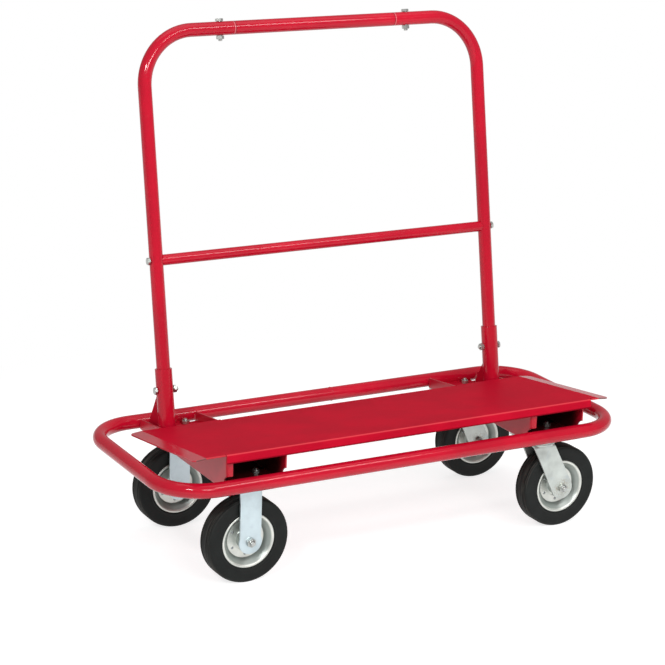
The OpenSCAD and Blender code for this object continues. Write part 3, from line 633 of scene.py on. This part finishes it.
def round_corners(points, radii, steps=5):
    """A line of points whose inner corners are rounded off by the given radii."""
    line = [Vector(points[0])]
    for before, corner, after, radius in zip(points, points[1:], points[2:], radii):
        corner = Vector(corner)
        back = (Vector(before) - corner).normalized()
        ahead = (Vector(after) - corner).normalized()
        half = back.angle(ahead) / 2
        start = corner + back * (radius / math.tan(half))
        centre = corner + (back + ahead).normalized() * (radius / math.sin(half))
        turn = math.pi - 2 * half
        side = 1 if back.cross(ahead) < 0 else -1
        for i in range(steps + 1):
            arm = start - centre
            arm.rotate(Matrix.Rotation(side * turn * i / steps, 2))
            line.append(centre + arm)
    line.append(Vector(points[-1]))
    return line


def thicken(line, thickness):
    """Closed outline of sheet metal that follows a line."""
    left, right = [], []
    for before, point, after in zip(line[:1] + line, line, line[1:] + line[-1:]):
        along = (after - before).normalized()
        aside = Vector((-along.y, along.x)) * thickness / 2
        left.append(point + aside)
        right.append(point - aside)
    return left + right[::-1]


def arc(centre, radius, start, end, steps):
    """Points of an arc between two angles, in degrees."""
    angles = [math.radians(start + (end - start) * i / steps) for i in range(steps + 1)]
    return [Vector((centre[0] + radius * math.cos(a), centre[1] + radius * math.sin(a))) for a in angles]


def wheel_frame(corner):
    """Matrix of a wheel: its z axis is the axle and points to the cart's front."""
    place = Vector(JOINTS[f"roll_{corner}"]["pos_m"])
    return Matrix.Translation(place) @ Matrix.Rotation(math.radians(90), 4, "X")


def hoop_frame(sizes):
    """Matrix along the hoop's legs, with its origin on the channels' floor midway between the feet."""
    foot_y = SOCKET_LOW.y + SOCKET_R / math.cos(sizes.hoop_lean)
    return Matrix.Translation((HOOP_MID_X, foot_y, FLOOR_TOP)) @ Matrix.Rotation(-sizes.hoop_lean, 4, "X")


def disc_ring(radius, height, sides=48):
    """Ring of a circle, in millimetres."""
    angles = [math.tau * i / sides for i in range(sides)]
    return [Vector((radius * math.cos(a), radius * math.sin(a), height)) * MM for a in angles]


def hex_ring(flats, height, turn_down, sides=48):
    """Ring of a hexagon, in millimetres, whose corners are turned down by a chamfer of 30 degrees."""
    ring = []
    for point in disc_ring(1.0, 0.0, sides):
        turn = math.atan2(point.y, point.x)
        fold = (turn + math.pi / 6) % (math.pi / 3) - math.pi / 6
        radius = flats / 2 / math.cos(fold)
        drop = (radius - flats / 2 * 0.95) * math.tan(math.radians(30)) * turn_down
        ring.append(Vector((radius * math.cos(turn), radius * math.sin(turn), height - drop)) * MM)
    return ring


def nut(d, lock):
    """Hexagon nut that stands on z = 0, in millimetres; a lock nut has a collar."""
    half = 0.8 * d
    height = 0.85 * d
    hex_h = height * (0.74 if lock else 1.0)
    bore = d / 2 * 0.96
    rings = [
        disc_ring(bore, 0.06 * d), disc_ring(bore * 1.1, 0), disc_ring(half * 0.93, 0),
        hex_ring(2 * half, 0.02 * d, -1), hex_ring(2 * half, hex_h, 1),
    ]
    if lock:
        rings += [
            disc_ring(half * 0.84, hex_h + 0.01 * d), disc_ring(half * 0.80, height - 0.08 * d),
            disc_ring(half * 0.70, height),
        ]
    else:
        rings.append(disc_ring(half * 0.93, hex_h))
    rings += [disc_ring(bore * 1.1, height), disc_ring(bore, height - 0.06 * d)]
    return loft(rings, closed=True)


def bolt_head(d):
    """Hexagon head that stands on z = 0, in millimetres, with a washer face and a dished top."""
    half = 0.8 * d
    height = 0.64 * d
    return loft([
        disc_ring(half * 0.92, 0), disc_ring(half * 0.92, 0.03 * d),
        hex_ring(2 * half, 0.05 * d, -0.3), hex_ring(2 * half, height, 1),
        disc_ring(half * 0.93, height), disc_ring(half * 0.4, height - 0.02 * d),
    ])


def thread(d, reach):
    """Threaded end of a bolt, from z = 0 up, in millimetres, with a helical ridge and a chamfered tip."""
    pitch = 0.125 * d
    root = d / 2 * 0.9
    turns = max((reach - 0.1 * d) / pitch - 1.0, 1.0)
    steps = round(turns * 20)
    work = lathe([(0, 0), (root, 0), (root, reach - 0.07 * d), (root * 0.86, reach), (0, reach)], 32)
    ridge = bmesh.new()
    outline = [(root * 0.97, 0.04 * pitch), (d / 2 * 0.985, 0.5 * pitch), (root * 0.97, 0.96 * pitch)]
    verts = [ridge.verts.new((r * MM, 0, z * MM)) for r, z in outline]
    face = ridge.faces.new(verts)
    bmesh.ops.spin(
        ridge, geom=[face, *face.edges, *verts], cent=(0, 0, 0), axis=(0, 0, 1),
        dvec=(0, 0, pitch * turns / steps * MM), angle=math.tau * turns, steps=steps
    )
    stamp(work, close_up(ridge), Matrix.Identity(4))
    ridge.free()
    return work


def bolt_set(d, grip, lock=False):
    """Bolt whose head stands on z = 0 and whose shank goes down to its nut, in millimetres."""
    work = bmesh.new()
    stay = Matrix.Identity(4)
    down = Matrix.Translation((0, 0, -grip * MM)) @ Matrix.Rotation(math.pi, 4, "X")
    shank = lathe([(0, 0), (d / 2, 0), (d / 2, -grip), (0, -grip)], 32)
    end = thread(d, 1.25 * d)
    for part, matrix in ((bolt_head(d), stay), (shank, stay), (nut(d, lock), down), (end, down)):
        stamp(work, part, matrix)
        part.free()
    return work


def bead(path, radius, ripple):
    """Weld bead along a path of points: a round string with ripples and tapered ends."""
    total = sum((b - a).length for a, b in zip(path, path[1:]))
    count = max(round(total / ripple * 3), 6)
    marks = [total * i / count for i in range(count + 1)]
    spots = []
    walked = 0.0
    for a, b in zip(path, path[1:]):
        span = (b - a).length
        while marks and marks[0] <= walked + span + 1e-9:
            spots.append(a.lerp(b, (marks.pop(0) - walked) / span))
        walked += span
    rings = []
    for i, spot in enumerate(spots):
        along = spots[min(i + 1, count)] - spots[max(i - 1, 0)]
        turn = along.to_track_quat("Z", "Y").to_matrix()
        taper = min(1.0, 0.35 + 0.3 * min(i, count - i))
        size = radius * (0.88 + 0.12 * math.cos(math.tau * i / 3)) * taper
        rings.append([spot + turn @ (point / MM * size) for point in disc_ring(1.0, 0, 10)])
    return loft(rings)


def beads(name, paths, body, finish, sizes, share=1.0):
    """Saves weld beads along several paths as one piece."""
    work = bmesh.new()
    for path in paths:
        string = bead(path, sizes.weld_r * share, sizes.weld_ripple)
        stamp(work, string, Matrix.Identity(4))
        string.free()
    save_piece(name, work, body, finish, sharp=60)


def ring_path(matrix, rx, ry, start=0.0, end=360.0, steps=48):
    """Path round an ellipse in the xy plane of a matrix, in degrees."""
    points = []
    for i in range(steps + 1):
        a = math.radians(start + (end - start) * i / steps)
        points.append(matrix @ Vector((rx * math.cos(a), ry * math.sin(a), 0)))
    return points


class CART_OT_stage(bpy.types.Operator):
    """Makes the floor, the sky, the lamps and the camera"""

    bl_idname = "cart.stage"
    bl_label = "Studio stage"

    def execute(self, context):
        stage = context.scene.cart_stage
        context.scene.view_settings.view_transform = "Standard"
        self.add_floor()
        self.add_sky(stage)
        for name, (place, size) in LAMPS.items():
            self.add_lamp(f"{name}_lamp", place, size, getattr(stage, name))
        self.add_camera(stage)
        return {"FINISHED"}

    def seen(self, finish):
        """1 for rays that show the background, 0 for rays that only light something."""
        names = ("Is Camera Ray", "Is Glossy Ray", "Is Transmission Ray")
        camera, glossy, through = (finish.add("ShaderNodeLightPath", output=name) for name in names)
        return camera.most(glossy).most(through)

    def add_floor(self):
        work = bmesh.new()
        bmesh.ops.create_grid(work, x_segments=1, y_segments=1, size=14.0)
        mesh = bpy.data.meshes.new("studio_floor")
        work.to_mesh(mesh)
        work.free()
        finish = new_finish("pale_floor")
        away = finish.away(finish.place())
        plain = finish.add("ShaderNodeBsdfDiffuse", None, {"Color": (0.8, 0.8, 0.8, 1)})
        matt = finish.add("ShaderNodeBsdfDiffuse", None, {"Color": (0.45, 0.45, 0.45, 1)})
        glow = finish.add("ShaderNodeEmission", None, {"Strength": 0.77})
        near = finish.add("ShaderNodeAddShader", None, {0: matt, 1: glow})
        white = finish.add("ShaderNodeEmission", None, {"Strength": 1.0})
        shown = finish.add("ShaderNodeMixShader", None, {0: away.step(0.9, 1.5), 1: near, 2: white})
        finish.output(finish.add("ShaderNodeMixShader", None, {0: self.seen(finish), 1: plain, 2: shown}))
        mesh.materials.append(finish.owner)
        floor = bpy.data.objects.new("studio_floor", mesh)
        bpy.context.scene.collection.objects.link(floor)

    def add_sky(self, stage):
        finish = Finish(bpy.data.worlds.new("studio_sky"))
        bpy.context.scene.world = finish.owner
        camera = finish.add("ShaderNodeLightPath", output="Is Camera Ray")
        strength = stage.sky + camera * (1.0 - stage.sky)
        back = finish.add("ShaderNodeBackground", None, {"Color": (1, 1, 1, 1), "Strength": strength})
        finish.output(back, "ShaderNodeOutputWorld")

    def add_lamp(self, name, place, size, power):
        data = bpy.data.lights.new(name, "AREA")
        data.shape = "RECTANGLE"
        data.size, data.size_y = size
        data.energy = power
        lamp = bpy.data.objects.new(name, data)
        lamp.location = place
        lamp.rotation_euler = (LAMP_AIM - Vector(place)).to_track_quat("-Z", "Y").to_euler()
        bpy.context.scene.collection.objects.link(lamp)

    def add_camera(self, stage):
        data = bpy.data.cameras.new("photo_camera")
        data.lens = stage.lens
        data.sensor_width = 36.0
        data.clip_end = 60.0
        camera = bpy.data.objects.new("photo_camera", data)
        look = Vector(stage.look).normalized()
        right = look.cross(Vector(stage.top)).normalized()
        turn = Matrix((right, right.cross(look), -look)).transposed().to_4x4()
        camera.matrix_world = Matrix.Translation(stage.eye) @ turn
        bpy.context.scene.collection.objects.link(camera)
        bpy.context.scene.camera = camera


class CART_OT_finishes(bpy.types.Operator):
    """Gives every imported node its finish"""

    bl_idname = "cart.finishes"
    bl_label = "Finishes of the packed nodes"

    def execute(self, context):
        for name, node in NODES.items():
            finish = SLOTS[name]
            if finish == "red_paint":
                finish = PAINTS.get(name, "tube_paint")
            elif name.startswith(("swivel_plate", "swivel_fork")):
                finish = "zinc_worn"
            node.data.materials.clear()
            node.data.materials.append(finish_of(finish))
        return {"FINISHED"}


class CART_OT_tyres(bpy.types.Operator):
    """Makes the solid tyres with their bead rings, shoulders and tread grooves"""

    bl_idname = "cart.tyres"
    bl_label = "Tyres"

    def half_outline(self, sizes):
        """Half of the section, from the bead under the rim to the middle of the tread."""
        r = sizes.tyre_r / MM
        w = sizes.tyre_w / MM / 2
        s = sizes.shoulder_r / MM
        side = round_corners(
            [(62.6, w - 5.6), (64.7, w - 4.4), (64.7, w - 1.1), (66.0, w - 0.3), (69.6, w - 0.3),
             (70.6, w - 0.9), (80.0, w - 0.8), (r - s - 1.5, w)],
            [0.4, 0.4, 0.7, 0.5, 0.4, 4.0], 3
        )
        low = r - 1.8
        tread = []
        for place in (0.32, 0.22):
            mid = place * 2 * w
            tread += [(r, mid + 1.1), (low, mid + 0.8), (low, mid - 0.8), (r, mid - 1.1)]
        tread.append((r, 0))
        return side + arc((r - s, w - s), s, 86, 0, 8) + [Vector(point) for point in tread]

    def execute(self, context):
        sizes = context.scene.cart_sizes
        half = self.half_outline(sizes)
        inside = [Vector((50.6, 0.0)), Vector((52.2, 5.2)), Vector((59.6, 15.8))]
        front = inside + half
        outline = front + [Vector((p.x, -p.y)) for p in front[-2:0:-1]]
        for corner in CORNERS:
            work = lathe(outline, 144, closed=True)
            tread = work.verts.layers.float.new("tread")
            for vert in work.verts:
                radius = math.hypot(vert.co.x, vert.co.y)
                vert[tread] = min(max((radius - sizes.tyre_r) / (4 * MM) + 1.25, 0.0), 1.0)
            work.transform(wheel_frame(corner))
            name = f"solid_tyre_{corner}"
            save_piece(name, work, f"wheel_{corner}", "tyre_rubber", [f"tyre_{corner}"], 50)
        return {"FINISHED"}


class CART_OT_rims(bpy.types.Operator):
    """Makes the pressed rim halves with their rolled lips, the hubs and the domed rivets"""

    bl_idname = "cart.rims"
    bl_label = "Rims, hubs and rivets"

    def execute(self, context):
        w = context.scene.cart_sizes.tyre_w / MM / 2
        hub_l = (FORK_HIGH.y - FORK_LOW.y) / MM / 2 - 5.6
        line = round_corners(
            [(28.2, 3.3), (45.4, 3.3), (57.6, w - 5.6), (60.2, w - 2.5), (62.0, w - 1.9)], [3.0, 6.0, 2.0], 6
        )
        outline = thicken(line + arc((62.0, w - 3.4), 1.5, 80, -80, 8), 2.3)
        barrel = [(41.5, 1.5), (41.0, 2.0), (22.4, 2.0), (20.9, 3.5), (20.9, hub_l - 1.4), (19.5, hub_l)]
        hub = [(13.5, -hub_l)] + [(r, -z) for r, z in barrel[::-1]] + barrel + [(13.5, hub_l)]
        dome = [(0, 1.8), *arc((0.0, -2.2), 4.0, 80, 36, 5), (3.4, 0.0), (0, 0)]
        rivet_count = 6
        rivet_seat = Matrix.Translation((36.5 * MM, 0, 4.4 * MM))
        back = Matrix.Rotation(math.pi, 4, "X")
        for corner in CORNERS:
            place = wheel_frame(corner)
            body = f"wheel_{corner}"
            for side, turn in (("outer", Matrix.Identity(4)), ("inner", back)):
                work = lathe(outline, 144, closed=True)
                work.transform(place @ turn)
                name = f"rim_{side}_{corner}"
                save_piece(f"pressed_{name}", work, body, "zinc_rim", [name], 40)
            work = lathe(hub, 72, closed=True)
            work.transform(place)
            save_piece(f"wheel_hub_{corner}", work, body, "zinc_rim", [f"hub_{corner}"], 30)
            rivets = bmesh.new()
            head = lathe(dome, 20)
            for i in range(rivet_count):
                spot = Matrix.Rotation(math.tau * (i + 0.5) / rivet_count, 4, "Z") @ rivet_seat
                stamp(rivets, head, place @ spot)
                stamp(rivets, head, place @ back @ spot)
            head.free()
            name = f"rim_rivets_{corner}"
            save_piece(f"domed_{name}", rivets, body, "bright_steel", [name], 40)
        return {"FINISHED"}


class CART_OT_axle_bolts(bpy.types.Operator):
    """Makes the axle bolts with lock nuts on their front ends"""

    bl_idname = "cart.axle_bolts"
    bl_label = "Axle bolts"

    def execute(self, context):
        d = context.scene.cart_sizes.axle / MM
        grip = (FORK_HIGH.y - FORK_LOW.y) / MM
        seat = Matrix.Translation((0, 0, -grip / 2 * MM)) @ Matrix.Rotation(math.pi, 4, "X")
        for corner in CORNERS:
            end, hand = corner.split("_")
            body = "cart" if hand == "left" else f"swivel_{end}"
            work = bolt_set(d, grip, lock=True)
            work.transform(wheel_frame(corner) @ seat)
            name = f"axle_bolt_{corner}"
            save_piece(f"{name}_set", work, body, "zinc_bolt", [name], 30)
        return {"FINISHED"}


class CART_OT_plate_bolts(bpy.types.Operator):
    """Makes the bolts and nuts that hold the casters' top plates"""

    bl_idname = "cart.plate_bolts"
    bl_label = "Plate bolts"

    def execute(self, context):
        sizes = context.scene.cart_sizes
        grip = (FLOOR_TOP - PLATE_LOW.z) / MM
        one = bolt_set(sizes.plate_bolt / MM, grip)
        flip = Matrix.Rotation(math.pi, 4, "X")
        work = bmesh.new()
        for plate in PLATES:
            low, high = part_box(plate)
            for sx in (-1, 1):
                for sy in (-1, 1):
                    x = (low.x + high.x + sx * sizes.bolt_x) / 2
                    y = (low.y + high.y + sy * sizes.bolt_y) / 2
                    twist = Matrix.Rotation(9 * x + 5 * y, 4, "Z")
                    stamp(work, one, Matrix.Translation((x, y, PLATE_LOW.z)) @ twist @ flip)
        one.free()
        nodes = ["caster_bolts", "caster_nuts"]
        save_piece("plate_bolt_sets", work, "cart", "zinc_bolt", nodes, 30)
        return {"FINISHED"}


class CART_OT_hoop_bolts(bpy.types.Operator):
    """Makes the splice bolts, the sockets' lock bolts and the mid rail's bolts"""

    bl_idname = "cart.hoop_bolts"
    bl_label = "Hoop bolts"

    def execute(self, context):
        sizes = context.scene.cart_sizes
        d = sizes.hoop_bolt / MM
        along = hoop_frame(sizes)
        rail = sizes.hoop_rise / math.cos(sizes.hoop_lean)
        tube = sizes.hoop_r + sizes.seat_gap
        socket = SOCKET_R + sizes.seat_gap
        rows = {"splice": [], "socket": [], "mid_rail": []}
        for side in (-1, 1):
            twist = Matrix.Rotation(0.35 + 0.4 * side, 4, "Z")
            out = Matrix.Rotation(side * math.pi / 2, 4, "Y") @ twist
            splice = Matrix.Translation((side * sizes.splice_x, 0, rail + tube))
            lock = Matrix.Translation((side * (HOOP_X + socket), 0, sizes.lock_rise))
            mid = Matrix.Translation((side * (HOOP_X + tube), 0, sizes.mid_rise))
            rows["splice"].append(splice @ twist)
            rows["socket"].append(lock @ out)
            rows["mid_rail"].append(mid @ out)
        grips = {"splice": 2 * tube / MM, "socket": 2 * socket / MM, "mid_rail": None}
        for name, places in rows.items():
            work = bmesh.new()
            one = bolt_set(d, grips[name]) if grips[name] else bolt_head(d)
            for place in places:
                stamp(work, one, along @ place)
            one.free()
            save_piece(f"{name}_bolt_sets", work, "cart", "zinc_bolt", [f"{name}_bolts"], 30)
        return {"FINISHED"}


class CART_OT_welds(bpy.types.Operator):
    """Lays the weld beads of channels, sockets, gussets, deck, loop, forks and swivel races"""

    bl_idname = "cart.welds"
    bl_label = "Weld beads"

    def channel_paths(self, sizes):
        """Beads between the channels' floors and the loop, and stitches under the deck."""
        paths = []
        deck_front = Vector((0, LOOP_MID.y - LOOP_HY, LOOP_MID.z + sizes.deck_rise))
        slope = math.tan(sizes.deck_tilt)
        for node in ("cross_channel_left", "cross_channel_right"):
            low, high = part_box(node)
            middle = (low.x + high.x) / 2
            for side in (-1, 1):
                for z, out in ((FLOOR_TOP, 0.7 * MM), (FLOOR_Z, -0.7 * MM)):
                    reach = math.sqrt(TUBE_R ** 2 - (LOOP_MID.z - z) ** 2)
                    y = LOOP_MID.y + side * (LOOP_HY - reach - 0.6 * MM)
                    paths.append([Vector((middle + x, y, z + out)) for x in (-50 * MM, 50 * MM)])
                wall = (low.x if side < 0 else high.x) + side * 0.6 * MM
                for start in (-200, -85, 30):
                    ys = (start * MM, (start + 35) * MM)
                    drop = sizes.deck_t / math.cos(sizes.deck_tilt) + 0.8 * MM
                    zs = [deck_front.z - (y - deck_front.y) * slope - drop for y in ys]
                    paths.append([Vector((wall, y, z)) for y, z in zip(ys, zs)])
        return paths

    def socket_paths(self, sizes):
        """Beads round the sockets' feet and along the gussets."""
        paths = []
        along = hoop_frame(sizes)
        foot = along.translation
        for side in (-1, 1):
            ground = Matrix.Translation((foot.x + side * HOOP_X, foot.y, FLOOR_TOP + 0.6 * MM))
            ring_y = SOCKET_R / math.cos(sizes.hoop_lean) + 0.6 * MM
            ends = (110, 440) if side > 0 else (100, 430)
            paths.append(ring_path(ground, SOCKET_R + 0.4 * MM, ring_y, *ends))
            for face in (-1, 1):
                x = side * sizes.gusset_x + face * (sizes.gusset_t / 2 + 0.5 * MM)
                offset = x - side * HOOP_X
                skin = math.sqrt(SOCKET_R ** 2 - offset ** 2) + 0.4 * MM
                paths.append([along @ Vector((x, skin, s)) for s in (12 * MM, 118 * MM)])
                heel = foot + Vector((x, 0, 0.5 * MM))
                paths.append([heel + Vector((0, y, 0)) for y in (26 * MM, 88 * MM)])
        return paths

    def execute(self, context):
        sizes = context.scene.cart_sizes
        frame_paths = self.channel_paths(sizes) + self.socket_paths(sizes)
        beads("frame_weld_beads", frame_paths, "cart", "sheet_paint", sizes)
        joint = Vector((60 * MM, LOOP_MID.y + LOOP_HY, LOOP_MID.z))
        seam = Matrix.Translation(joint) @ Matrix.Rotation(math.pi / 2, 4, "Y")
        sunk = TUBE_R - 0.9 * MM
        loop_seam = [ring_path(seam, sunk, sunk)]
        beads("loop_weld_bead", loop_seam, "cart", "tube_paint", sizes, 0.7)
        caster_paths = []
        for end in ("front", "rear"):
            low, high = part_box(f"rigid_fork_{end}")
            middle = (low + high) / 2
            for side in (-1, 1):
                x = middle.x + side * 26.5 * MM
                ys = (middle.y - 23 * MM, middle.y + 23 * MM)
                caster_paths.append([Vector((x, y, PLATE_LOW.z - 0.8 * MM)) for y in ys])
            pin = Vector(JOINTS[f"swivel_{end}"]["pos_m"])
            top = Matrix.Translation((pin.x, pin.y, PLATE_LOW.z - 0.5 * MM))
            round_race = sizes.race_r + 0.4 * MM
            caster_paths.append(ring_path(top, round_race, round_race))
        beads("caster_weld_beads", caster_paths, "cart", "zinc_sheet", sizes, 0.6)
        return {"FINISHED"}


class CART_PT_panel(bpy.types.Panel):
    """Lists the cart's pieces, sizes and colours"""

    bl_idname = "CART_PT_panel"
    bl_label = "Drywall cart"
    bl_space_type = "VIEW_3D"
    bl_region_type = "UI"
    bl_category = "Cart"

    def draw(self, context):
        for operator in PIECES:
            self.layout.operator(operator.bl_idname)
        for owner, group in GROUPS.items():
            for name in group.__annotations__:
                self.layout.prop(getattr(context.scene, owner), name)


PIECES = (
    CART_OT_stage,
    CART_OT_finishes,
    CART_OT_tyres,
    CART_OT_rims,
    CART_OT_axle_bolts,
    CART_OT_plate_bolts,
    CART_OT_hoop_bolts,
    CART_OT_welds,
)
GROUPS = {"cart_finish": CartFinish, "cart_sizes": CartSizes, "cart_stage": CartStage}


def register():
    for group in GROUPS.values():
        bpy.utils.register_class(group)
    for operator in PIECES:
        bpy.utils.register_class(operator)
    bpy.utils.register_class(CART_PT_panel)
    for name, group in GROUPS.items():
        setattr(bpy.types.Scene, name, bpy.props.PointerProperty(type=group))


def unregister():
    for name in GROUPS:
        delattr(bpy.types.Scene, name)
    bpy.utils.unregister_class(CART_PT_panel)
    for operator in reversed(PIECES):
        bpy.utils.unregister_class(operator)
    for group in GROUPS.values():
        bpy.utils.unregister_class(group)


def main():
    register()
    bpy.ops.cart.stage()
    bpy.ops.cart.finishes()
    bpy.ops.cart.tyres()
    bpy.ops.cart.rims()
    bpy.ops.cart.axle_bolts()
    bpy.ops.cart.plate_bolts()
    bpy.ops.cart.hoop_bolts()
    bpy.ops.cart.welds()


if __name__ == "__main__":
    main()
